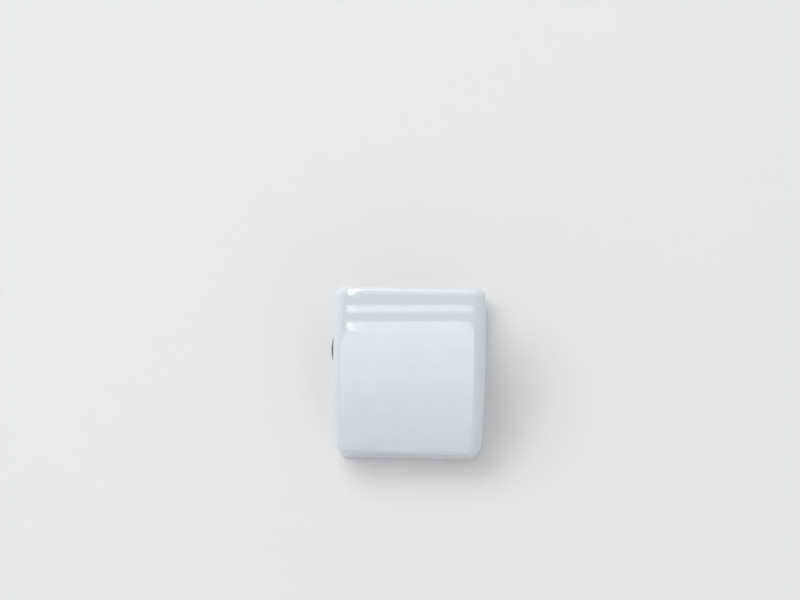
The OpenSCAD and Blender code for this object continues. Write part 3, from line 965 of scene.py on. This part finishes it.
def make_rear_lever(sizes):
    """Rear lever: slab with a toothed jaw, two ears, guide ribs and the magnets' pocket."""
    wire = SpringWire(sizes)
    base = YOKE_HIGH.z + sizes.floor_t
    outline = BowedOutline(REAR_HIGH.x, sizes.bow_r, REAR_LOW.y - PIVOT.y, REAR_HIGH.y - PIVOT.y,
                           sizes.jaw_corner, sizes.handle_corner)
    points = outline.points + np.array((0.0, PIVOT.y))
    # A split just below the later edge rounding keeps the place where it starts small
    piece = round_block("rear_lever_slab", points, outline.inward, REAR_LOW.z, base + REACH,
                        sizes.edge_round, levels=[base - 3 * sizes.cut_round])
    teeth = tooth_line(sizes, 0.0)
    over = base + 2 * REACH
    above = [(REAR_LOW.y - REACH, teeth[0][1]), *teeth, (REAR_HIGH.y + REACH, base),
             (REAR_HIGH.y + REACH, over), (REAR_LOW.y - REACH, over)]
    above = rounded(above, sizes.cut_round)
    carve(piece, side_prism("above_slab", above, -2 * REAR_HIGH.x, 2 * REAR_HIGH.x))
    gap = Vector((sizes.glue_gap, sizes.glue_gap))
    low = YOKE_LOW.xy - gap
    high = YOKE_HIGH.xy + gap
    pocket = round_rectangle(low, high, sizes.magnet_corner + sizes.glue_gap)
    carve(piece, round_block("magnet_pocket", *pocket, -REACH, YOKE_HIGH.z, sizes.glue_gap))
    soften(piece, sizes.cut_round, behind=jaw_y(sizes))
    foot_z = base - PIVOT.z - sizes.edge_round
    ear = ear_side(sizes.pin_d / 2 + sizes.ear_wall, (sizes.ear_foot, foot_z), (-sizes.ear_foot, foot_z))
    ear = [(PIVOT.y + y, PIVOT.z + z) for y, z in ear]
    outer_x = ear_x(sizes) - sizes.ear_gap
    for low_x in (-outer_x, outer_x - sizes.rear_ear_t):
        join_on(piece, side_prism("rear_ear", ear, low_x, low_x + sizes.rear_ear_t), sizes)
    leg_y = PIVOT.y + sizes.leg_l * math.cos(wire.rear_a)
    guide = [(leg_y - sizes.guide_l, base - sizes.edge_round), (leg_y, base - sizes.edge_round),
             (leg_y, base + sizes.guide_h), (leg_y - sizes.guide_l, base + sizes.guide_h)]
    for rib in guide_ribs("leg_guide", sizes, wire.half_l, guide):
        join_on(piece, rib, sizes)
    carve(piece, pin_bore("pin_hole", -REAR_HIGH.x, REAR_HIGH.x, sizes.pin_d / 2 + sizes.pin_fit))
    shade(piece)
    set_side_normals(piece, ear_x(sizes), sizes.bow_r, Vector((0, 1, 0)))
    plastic = moulded_plastic("white_plastic_rear", gloss=0.09)
    finish_piece(piece, plastic, "rear", "white_plastic_rear", "rear_lever")


def make_pivot_pin(sizes):
    """Pin with a low domed head on the left flank and its end spread flush in the right one."""
    shaft_r = sizes.pin_d / 2
    head_r = (PIN_HIGH.z - PIN_LOW.z) / 2
    dome_r = (head_r**2 + sizes.dome_h**2) / (2 * sizes.dome_h)
    dome_a = math.pi - math.asin(head_r / dome_r)
    dome = arc((PIN_LOW.x + dome_r, 0.0), dome_r, math.pi, dome_a, steps=8)[0]
    under_x = PIN_LOW.x + sizes.dome_h + sizes.dome_rim
    spread_x = PIN_HIGH.x - sizes.spread_t
    spread_r = shaft_r + sizes.spread_rim
    roll = sizes.spread_t / 2
    rolled = arc((PIN_HIGH.x - roll, spread_r - roll), roll, math.pi / 2, 0.0, steps=5)[0]
    profile = [*dome, (under_x, head_r), (under_x, shaft_r), (spread_x, shaft_r), (spread_x, spread_r),
               *rolled, (PIN_HIGH.x, 0.0)]
    piece = lathe("pivot_pin_turned", profile, steps=72)
    soften(piece, sizes.cut_round / 2)
    shade(piece)
    finish_piece(piece, dark_steel(), "rear", "dark_steel", "pivot_pin")


def make_torsion_spring(sizes):
    """One unbroken wire: a leg on each lever and the coil on the pin between them."""
    wire = SpringWire(sizes)
    sides = 18
    per_turn = 40
    coil = np.linspace(wire.start, wire.stop, round((wire.stop - wire.start) / math.tau * per_turn))
    # Rounding of the tips as a share of the wire's radius, and rings as shares of a leg
    tip_round = 0.2
    ring_shares = (0.75, 0.5, 0.25, 0.08)
    leg = [(wire.leg_l, 1 - tip_round), (wire.leg_l - tip_round * wire.radius, 1.0)]
    leg += [(wire.leg_l * share, 1.0) for share in ring_shares]
    stations = []
    for along, scale in leg:
        stations.append((wire.point(wire.start) - along * wire.run(wire.start), wire.start, scale))
    stations += [(wire.point(turn), turn, 1.0) for turn in coil]
    for along, scale in reversed(leg):
        stations.append((wire.point(wire.stop) + along * wire.run(wire.stop), wire.stop, scale))
    skin = Skin()
    rings = []
    for middle, turn, scale in stations:
        radial = Vector((0, math.cos(turn), math.sin(turn)))
        ring = []
        for k in range(sides):
            a = math.tau * k / sides
            spoke = math.cos(a) * radial + math.sin(a) * Vector((1, 0, 0))
            ring.append(middle + wire.radius * scale * spoke)
        rings.append(skin.add(ring))
    skin.tube(rings)
    skin.cap(rings[0])
    skin.cap(rings[-1])
    piece = skin.build("torsion_spring_wire")
    unroll(piece, len(stations), sides)
    piece.data.shade_smooth()
    piece.data.set_sharp_from_angle(angle=CREASE)
    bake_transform(piece)
    finish_piece(piece, drawn_wire(), "rear", "spring_wire", "torsion_spring")


def unroll(piece, stations, sides):
    """Map of the wire's surface: u runs round the wire and v along it."""
    layer = piece.data.uv_layers.new(name="wire")
    for loop in piece.data.loops:
        station, side = divmod(loop.vertex_index, sides)
        layer.data[loop.index].uv = (side / sides, station / stations)


def make_magnets(sizes):
    """Two ground ferrite blocks and the plated steel plate over them."""
    ferrite = ground_ferrite()
    for node in ("left_magnet", "right_magnet"):
        low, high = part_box(node)
        outline = round_rectangle(low.xy, high.xy, sizes.magnet_corner)
        piece = round_block(node + "_block", *outline, low.z, high.z, sizes.magnet_edge)
        shade(piece)
        finish_piece(piece, ferrite, "rear", "ferrite", node)
    outline = round_rectangle(YOKE_LOW.xy, YOKE_HIGH.xy, sizes.magnet_corner)
    piece = round_block("yoke_plate_blank", *outline, YOKE_LOW.z, YOKE_HIGH.z, sizes.magnet_edge / 2)
    shade(piece)
    finish_piece(piece, plated_plate(), "rear", "plated_steel", "yoke_plate")


# Studio

def camera_axes(studio):
    """The camera's place and its right, up and back directions."""
    flat = math.cos(studio.elevation)
    back = Vector((math.sin(studio.azimuth) * flat, -math.cos(studio.azimuth) * flat,
                   math.sin(studio.elevation)))
    level = Vector((0, 0, 1)).cross(back).normalized()
    upright = back.cross(level)
    right = math.cos(studio.roll) * level + math.sin(studio.roll) * upright
    place = Vector((studio.aim_x, studio.aim_y, 0)) + studio.distance * back
    return place, right, back.cross(right), back


def add_camera(studio):
    """The camera, at the photograph's viewing angle."""
    place, right, up, back = camera_axes(studio)
    data = bpy.data.cameras.new("camera")
    data.sensor_width = SENSOR_W
    data.lens = studio.lens_mm
    camera = bpy.data.objects.new("camera", data)
    camera.matrix_world = Matrix((right, up, back)).transposed().to_4x4()
    camera.location = place
    bpy.context.scene.collection.objects.link(camera)
    bpy.context.scene.camera = camera
    return place


def add_light(name, place, aim, width, height, power, across=None):
    """Area light at a place, turned to a point, with its width level or along a direction."""
    data = bpy.data.lights.new(name, "AREA")
    data.shape = "RECTANGLE"
    data.size = width
    data.size_y = height
    data.energy = power
    back = (place - aim).normalized()
    upright = back.cross(across or Vector((0, 0, 1)).cross(back)).normalized()
    light = bpy.data.objects.new(name, data)
    light.matrix_world = Matrix((upright.cross(back), upright, back)).transposed().to_4x4()
    light.location = place
    light.visible_camera = False
    bpy.context.scene.collection.objects.link(light)
    return light


def add_softbox(name, box, aim, power):
    """Light that falls on the clip, but isn't mirrored in it."""
    place, width, height = box
    add_light(name, Vector(place), aim, width, height, power).visible_glossy = False


def add_panel(name, place, aim, width, height, brightness, across=None):
    """Light of an even brightness that is only seen mirrored."""
    power = brightness * math.pi * width * height
    add_light(name, place, aim, width, height, power, across).visible_diffuse = False


def mirrored(lever, eye, x, s, turn=0.0):
    """Where the eye looks, at the strips' distance, by way of a point of the glossy face, or of
    the handle end's rolled edge after a turn round it from that point."""
    roll = lever.sizes.handle_roll
    h = float(lever.crown(s)) - roll * (1 - math.cos(turn))
    point = Vector(lever.place(x, s + roll * math.sin(turn), h))
    lean = lever.tilt - math.asin((s - lever.crown_s) / lever.sizes.crown_r) - turn
    normal = Vector((0, -math.sin(lean), math.cos(lean)))
    return point + STRIP_OFF * (point - eye).normalized().reflect(normal)


def add_band(lever, eye, band, brightness):
    """Strip light that the eye sees as a band across the face."""
    place, aim, across, width, height = band_plane(lever, eye, band)
    add_panel("band", place, aim, width, height, brightness, across)


def band_plane(lever, eye, band):
    """A strip light's middle, the point that it faces, its direction across and its two sizes.
    The band is given by its distances from the handle end, then from left to right."""
    top, bottom, left_x, right_x = band
    middle_s = lever.handle_s - (top + bottom) / 2
    upper, lower = (mirrored(lever, eye, 0.0, lever.handle_s - d) for d in (top, bottom))
    left, right = (mirrored(lever, eye, x, middle_s + BAND_SLANT * x) for x in (left_x, right_x))
    place = (left + right) / 2
    aim = Vector(lever.place(0.0, middle_s, float(lever.crown(middle_s))))
    across = (right - left).normalized()
    return place, aim, across, (right - left).length, (upper - lower).length


def add_fade(lever, eye, band, brightness):
    """Strips that hang from a band's lower edge, each longer than the last, so that the light
    fades down the face. They run on to the left, past the flank."""
    place, aim, across, width, height = band_plane(lever, eye, band)
    down = across.cross(place - aim).normalized()
    place -= FADE_SPARE / 2 * across
    aim -= FADE_SPARE / 2 * across
    for step in range(1, FADE_STEPS + 1):
        drop = FADE_L * step / FADE_STEPS
        shift = (height + drop) / 2 * down + step * LAYER * across.cross(down)
        add_panel("fade", place + shift, aim + shift, width + FADE_SPARE, drop,
                  brightness / FADE_STEPS, across)


def add_rim(lever, eye, name, edges, brightness):
    """Chain of panels that the eye sees as one bright patch on the handle end's rolled edge.
    Each edge between them is given by a turn round the roll and its two ends on the lever."""
    start_s = lever.handle_s - lever.sizes.handle_roll
    aim = Vector(lever.place(0.0, start_s, float(lever.crown(start_s))))
    ends = [[mirrored(lever, eye, x, start_s, math.radians(turn)) for x in across]
            for turn, *across in edges]
    for (left, right), (far_left, far_right) in zip(ends, ends[1:]):
        place = (left + right + far_left + far_right) / 4
        across = (right - left + far_right - far_left) / 2
        height = ((far_left + far_right - left - right) / 2).length
        aim.x = place.x
        add_panel(name, place, aim, across.length, height, brightness, across)


def add_floor():
    """Wide pale floor that sweeps up into a wall all round."""
    inner_r = (0.05, 0.2)
    flat_r = 0.5
    sweep_r = 1.8
    drop = -0.02 * MM
    sweep_steps = 32
    around_n = 96
    turns = np.linspace(0, math.pi / 2, sweep_steps + 1)
    profile = [(r, drop) for r in inner_r]
    profile += [(flat_r + sweep_r * math.sin(t), drop + sweep_r * (1 - math.cos(t))) for t in turns]
    skin = Skin()
    around = np.linspace(0, math.tau, around_n, endpoint=False)
    rings = [skin.add([(r * math.cos(t), r * math.sin(t), z) for t in around]) for r, z in profile]
    skin.tube(rings)
    skin.cap(rings[0])
    floor = skin.build("floor")
    floor.data.shade_smooth()
    floor.data.materials.append(studio_floor())


def make_studio(sizes):
    """Floor, sky, lights and camera."""
    scene = bpy.context.scene
    studio = scene.clip_studio
    scene.view_settings.view_transform = "Standard"
    add_floor()
    eye = add_camera(studio)
    world = bpy.data.worlds.new("studio_sky")
    world.use_nodes = True
    sky = world.node_tree.nodes["Background"]
    sky.inputs["Color"].default_value = SKY_COLOUR
    sky.inputs["Strength"].default_value = studio.sky
    scene.world = world
    middle = (cad_low + cad_high) / 2
    add_softbox("key", KEY_BOX, middle, studio.key)
    add_softbox("fill", FILL_BOX, middle, studio.fill)
    x, y, z = SIDE_PLACE
    for step in range(1, GRADE_STEPS + 1):
        width = GRADE_W * step / GRADE_STEPS
        for name, side, brightness in (("left", -1, studio.left), ("right", 1, studio.right)):
            place = Vector((side * (x + step * LAYER), y, z))
            add_panel(name, place, middle, width, SIDE_H, brightness / GRADE_STEPS)
    lever = LeverShape(sizes)
    for band in BANDS:
        add_band(lever, eye, band + BAND_ENDS, studio.strip)
        add_band(lever, eye, band + SPOT_ENDS, SPOT_SHARE * studio.strip)
    add_fade(lever, eye, BANDS[-1] + FADE_ENDS, FADE_SHARE * studio.strip)
    add_rim(lever, eye, "glint", GLINT, studio.glint)
    add_rim(lever, eye, "rim", RIM_LINE, studio.rim)


# Add-on

class SPRINGCLIP_OT_front_lever(bpy.types.Operator):
    """Build the crowned front lever"""

    bl_idname = "spring_clip.front_lever"
    bl_label = "Front lever"
    bl_options = {"REGISTER", "UNDO"}

    def execute(self, context):
        make_front_lever(context.scene.clip_sizes)
        return {"FINISHED"}


class SPRINGCLIP_OT_rear_lever(bpy.types.Operator):
    """Build the rear lever that carries the magnets"""

    bl_idname = "spring_clip.rear_lever"
    bl_label = "Rear lever"
    bl_options = {"REGISTER", "UNDO"}

    def execute(self, context):
        make_rear_lever(context.scene.clip_sizes)
        return {"FINISHED"}


class SPRINGCLIP_OT_pivot_pin(bpy.types.Operator):
    """Turn the pivot pin"""

    bl_idname = "spring_clip.pivot_pin"
    bl_label = "Pivot pin"
    bl_options = {"REGISTER", "UNDO"}

    def execute(self, context):
        make_pivot_pin(context.scene.clip_sizes)
        return {"FINISHED"}


class SPRINGCLIP_OT_torsion_spring(bpy.types.Operator):
    """Wind the torsion spring"""

    bl_idname = "spring_clip.torsion_spring"
    bl_label = "Torsion spring"
    bl_options = {"REGISTER", "UNDO"}

    def execute(self, context):
        make_torsion_spring(context.scene.clip_sizes)
        return {"FINISHED"}


class SPRINGCLIP_OT_magnets(bpy.types.Operator):
    """Grind the magnets and blank the plate over them"""

    bl_idname = "spring_clip.magnets"
    bl_label = "Magnets and plate"
    bl_options = {"REGISTER", "UNDO"}

    def execute(self, context):
        make_magnets(context.scene.clip_sizes)
        return {"FINISHED"}


class SPRINGCLIP_OT_studio(bpy.types.Operator):
    """Set up the floor, the lights and the camera"""

    bl_idname = "spring_clip.studio"
    bl_label = "Studio"
    bl_options = {"REGISTER", "UNDO"}

    def execute(self, context):
        make_studio(context.scene.clip_sizes)
        return {"FINISHED"}


OPERATORS = (
    SPRINGCLIP_OT_front_lever,
    SPRINGCLIP_OT_rear_lever,
    SPRINGCLIP_OT_pivot_pin,
    SPRINGCLIP_OT_torsion_spring,
    SPRINGCLIP_OT_magnets,
    SPRINGCLIP_OT_studio,
)
GROUPS = {"clip_sizes": ClipSizes, "clip_colours": ClipColours, "clip_studio": StudioSettings}


class SPRINGCLIP_PT_sidebar(bpy.types.Panel):
    """Lists the builders and the values that they use"""

    bl_idname = "SPRINGCLIP_PT_sidebar"
    bl_label = "Spring clip"
    bl_space_type = "VIEW_3D"
    bl_region_type = "UI"
    bl_category = "Spring clip"

    def draw(self, context):
        """Draws a button for each builder, then the values."""
        for operator in OPERATORS:
            self.layout.operator(operator.bl_idname)
        for name in GROUPS:
            group = getattr(context.scene, name)
            for value in group.__annotations__:
                self.layout.prop(group, value)


def register():
    """Adds the values, the builders and the panel to Blender."""
    for group in GROUPS.values():
        bpy.utils.register_class(group)
    for name, group in GROUPS.items():
        setattr(bpy.types.Scene, name, bpy.props.PointerProperty(type=group))
    for operator in OPERATORS:
        bpy.utils.register_class(operator)
    bpy.utils.register_class(SPRINGCLIP_PT_sidebar)


def unregister():
    """Takes them out again."""
    bpy.utils.unregister_class(SPRINGCLIP_PT_sidebar)
    for operator in reversed(OPERATORS):
        bpy.utils.unregister_class(operator)
    for name, group in GROUPS.items():
        delattr(bpy.types.Scene, name)
        bpy.utils.unregister_class(group)


def main():
    """Builds every piece and the studio."""
    register()
    bpy.ops.spring_clip.front_lever()
    bpy.ops.spring_clip.rear_lever()
    bpy.ops.spring_clip.pivot_pin()
    bpy.ops.spring_clip.torsion_spring()
    bpy.ops.spring_clip.magnets()
    bpy.ops.spring_clip.studio()


if __name__ == "__main__":
    main()
